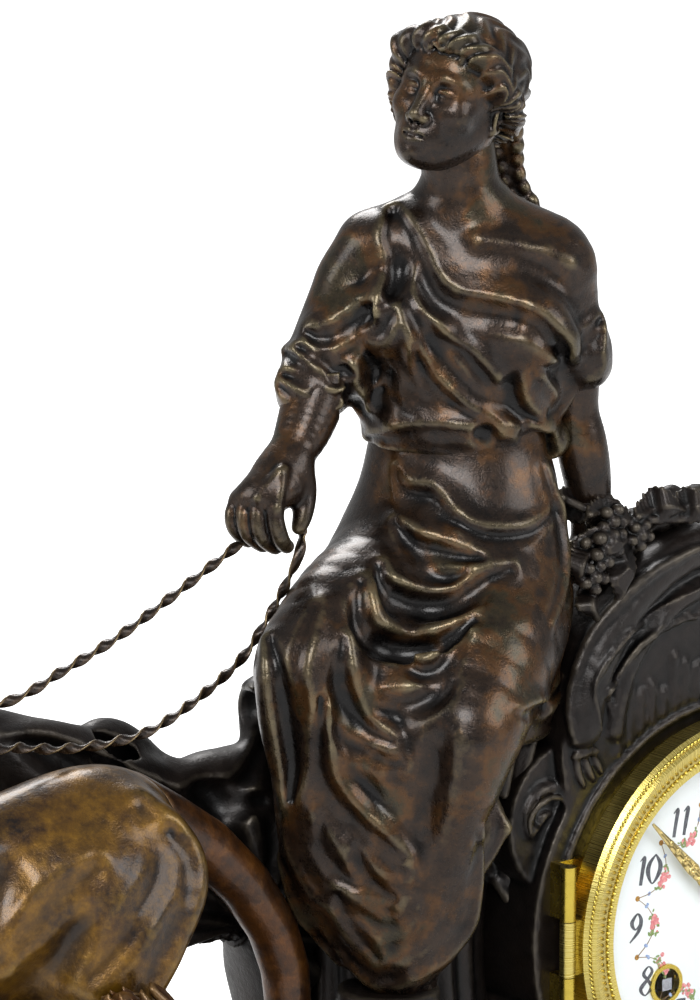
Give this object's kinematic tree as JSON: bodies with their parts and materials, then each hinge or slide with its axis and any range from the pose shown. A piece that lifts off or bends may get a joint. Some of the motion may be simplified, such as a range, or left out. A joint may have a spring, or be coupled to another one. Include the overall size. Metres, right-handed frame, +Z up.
{
  "type": "figural mantel clock",
  "caption": "Figural mantel clock: a draped woman on a shell chariot holds twisted reins to a lion, beside a scrolled case with a striking movement.",
  "frame": {"origin": "middle of the plinth's footprint, at the underside of its feet", "axes": "+Z up; -Y the way the dial faces; the lion walks towards -X and the clock case stands at +X"},
  "size_m": [0.524, 0.176, 0.406],
  "materials": {
    "marble": "polished black marble",
    "brass": "lacquered brass",
    "bezel_brass": "polished brass with a milled face",
    "steel": "polished steel",
    "bell_bronze": "turned bell bronze",
    "gilt": "gilt brass",
    "enamel": "white fired enamel",
    "glass": "clear convex glass",
    "dark_patina": "grey-black patina on cast spelter",
    "figure_patina": "brown patina on cast spelter, rubbed on the ridges",
    "rein_metal": "browned twisted strip",
    "lion_patina": "golden brown mottled patina on cast spelter"
  },
  "bodies": {
    "clock": {"plinth": "marble", "plinth_feet": "brass", "plinth_fixings": "steel", "ground": "dark_patina", "footrest_rock": "dark_patina", "case_front": "dark_patina", "case_back": "dark_patina", "flower_spray": "dark_patina", "chariot_body": "dark_patina", "chariot_prow": "dark_patina", "figure_skirt": "figure_patina", "figure_torso": "figure_patina", "figure_head": "figure_patina", "figure_right_arm": "figure_patina", "figure_left_arm": "figure_patina", "rein_right": "rein_metal", "rein_left": "rein_metal", "lion_body": "lion_patina", "lion_tail": "lion_patina", "lion_bit": "rein_metal", "bezel_seat": "brass", "hinge_pins": "brass", "dial": "enamel", "winding_grommets": "brass", "front_plate": "brass", "back_plate": "brass", "pillars": "brass", "clicks": "steel", "back_cock": "brass", "bell": "bell_bronze", "bell_stand": "brass", "straps": "brass", "back_door_ring": "brass"},
    "bezel": {"bezel_ring": "bezel_brass", "sight_ring": "bezel_brass", "bezel_glass": "glass"},
    "rear_door": {"back_door": "brass"},
    "minute": {"centre_arbor": "brass", "cannon_pinion": "brass", "minute_hand": "gilt", "hand_nut": "gilt"},
    "hour": {"hour_wheel": "brass", "hour_hand": "gilt"},
    "minute_wheel_body": {"minute_wheel": "brass"},
    "second_wheel_body": {"second_wheel": "brass"},
    "third_wheel_body": {"third_wheel": "brass"},
    "escape_wheel_body": {"escape_wheel": "brass"},
    "time_barrel_body": {"time_barrel": "brass"},
    "time_arbor_body": {"time_arbor": "steel"},
    "strike_barrel_body": {"strike_barrel": "brass"},
    "strike_arbor_body": {"strike_arbor": "steel"},
    "strike_second_body": {"strike_second_wheel": "brass"},
    "strike_pin_body": {"strike_pin_wheel": "brass"},
    "pallets_body": {"pallets": "steel"},
    "pendulum": {"suspension_spring": "steel", "pendulum_rod": "steel", "pendulum_bob": "brass", "rating_nut": "brass"},
    "hammer_body": {"hammer": "steel"}
  },
  "joints": [
    {"name": "bezel_hinge", "type": "hinge", "parent": "clock", "child": "bezel", "pos_m": [0.0949, -0.0435, 0.11], "axis": [0, 0, -1], "range_deg": [0, 95]},
    {"name": "rear_door_hinge", "type": "hinge", "parent": "clock", "child": "rear_door", "pos_m": [0.225, 0.05505, 0.11], "axis": [0, 0, -1], "range_deg": [0, 110]},
    {"name": "minute_turn", "type": "hinge", "parent": "clock", "child": "minute", "pos_m": [0.1635, 0, 0.11], "axis": [0, -1, 0], "continuous": true},
    {"name": "hour_turn", "type": "hinge", "parent": "clock", "child": "hour", "pos_m": [0.1635, 0, 0.11], "axis": [0, -1, 0], "continuous": true},
    {"name": "minute_wheel_turn", "type": "hinge", "parent": "clock", "child": "minute_wheel_body", "pos_m": [0.1695, 0, 0.09961], "axis": [0, -1, 0], "continuous": true},
    {"name": "second_wheel_turn", "type": "hinge", "parent": "clock", "child": "second_wheel_body", "pos_m": [0.1771, 0, 0.10666], "axis": [0, -1, 0], "continuous": true},
    {"name": "third_wheel_turn", "type": "hinge", "parent": "clock", "child": "third_wheel_body", "pos_m": [0.16809, 0, 0.12323], "axis": [0, -1, 0], "continuous": true},
    {"name": "escape_wheel_turn", "type": "hinge", "parent": "clock", "child": "escape_wheel_body", "pos_m": [0.1635, 0, 0.133], "axis": [0, -1, 0], "continuous": true},
    {"name": "time_barrel_turn", "type": "hinge", "parent": "clock", "child": "time_barrel_body", "pos_m": [0.1875, 0, 0.089], "axis": [0, -1, 0], "continuous": true},
    {"name": "time_arbor_turn", "type": "hinge", "parent": "clock", "child": "time_arbor_body", "pos_m": [0.1875, 0, 0.089], "axis": [0, -1, 0], "continuous": true},
    {"name": "strike_second_turn", "type": "hinge", "parent": "clock", "child": "strike_second_body", "pos_m": [0.13419, 0, 0.1088], "axis": [0, -1, 0], "continuous": true},
    {"name": "strike_barrel_turn", "type": "hinge", "parent": "clock", "child": "strike_barrel_body", "pos_m": [0.1395, 0, 0.089], "axis": [0, -1, 0], "continuous": true},
    {"name": "strike_pin_turn", "type": "hinge", "parent": "clock", "child": "strike_pin_body", "pos_m": [0.14334, 0, 0.11594], "axis": [0, -1, 0], "continuous": true},
    {"name": "strike_arbor_turn", "type": "hinge", "parent": "clock", "child": "strike_arbor_body", "pos_m": [0.1395, 0, 0.089], "axis": [0, -1, 0], "continuous": true},
    {"name": "pendulum_swing", "type": "hinge", "parent": "clock", "child": "pendulum", "pos_m": [0.1635, 0, 0.1455], "axis": [0, -1, 0], "range_deg": [-3, 3]},
    {"name": "pallets_rock", "type": "hinge", "parent": "clock", "child": "pallets_body", "pos_m": [0.1635, 0, 0.1455], "axis": [0, -1, 0], "range_deg": [-3, 3]},
    {"name": "hammer_lift", "type": "hinge", "parent": "clock", "child": "hammer_body", "pos_m": [0.1335, 0, 0.127], "axis": [0, -1, 0], "range_deg": [0, 15]}
  ],
  "couplings": [
    {"joint": "minute_wheel_turn", "follows": "minute_turn", "ratio": -0.33333},
    {"joint": "hour_turn", "follows": "minute_turn", "ratio": 0.083333},
    {"joint": "second_wheel_turn", "follows": "minute_turn", "ratio": -0.16667},
    {"joint": "time_barrel_turn", "follows": "minute_turn", "ratio": 0.023148},
    {"joint": "third_wheel_turn", "follows": "minute_turn", "ratio": -6},
    {"joint": "escape_wheel_turn", "follows": "minute_turn", "ratio": 30},
    {"joint": "strike_barrel_turn", "follows": "strike_second_turn", "ratio": -0.13889},
    {"joint": "strike_pin_turn", "follows": "strike_second_turn", "ratio": -4.8},
    {"joint": "pallets_rock", "follows": "pendulum_swing", "ratio": 1}
  ]
}
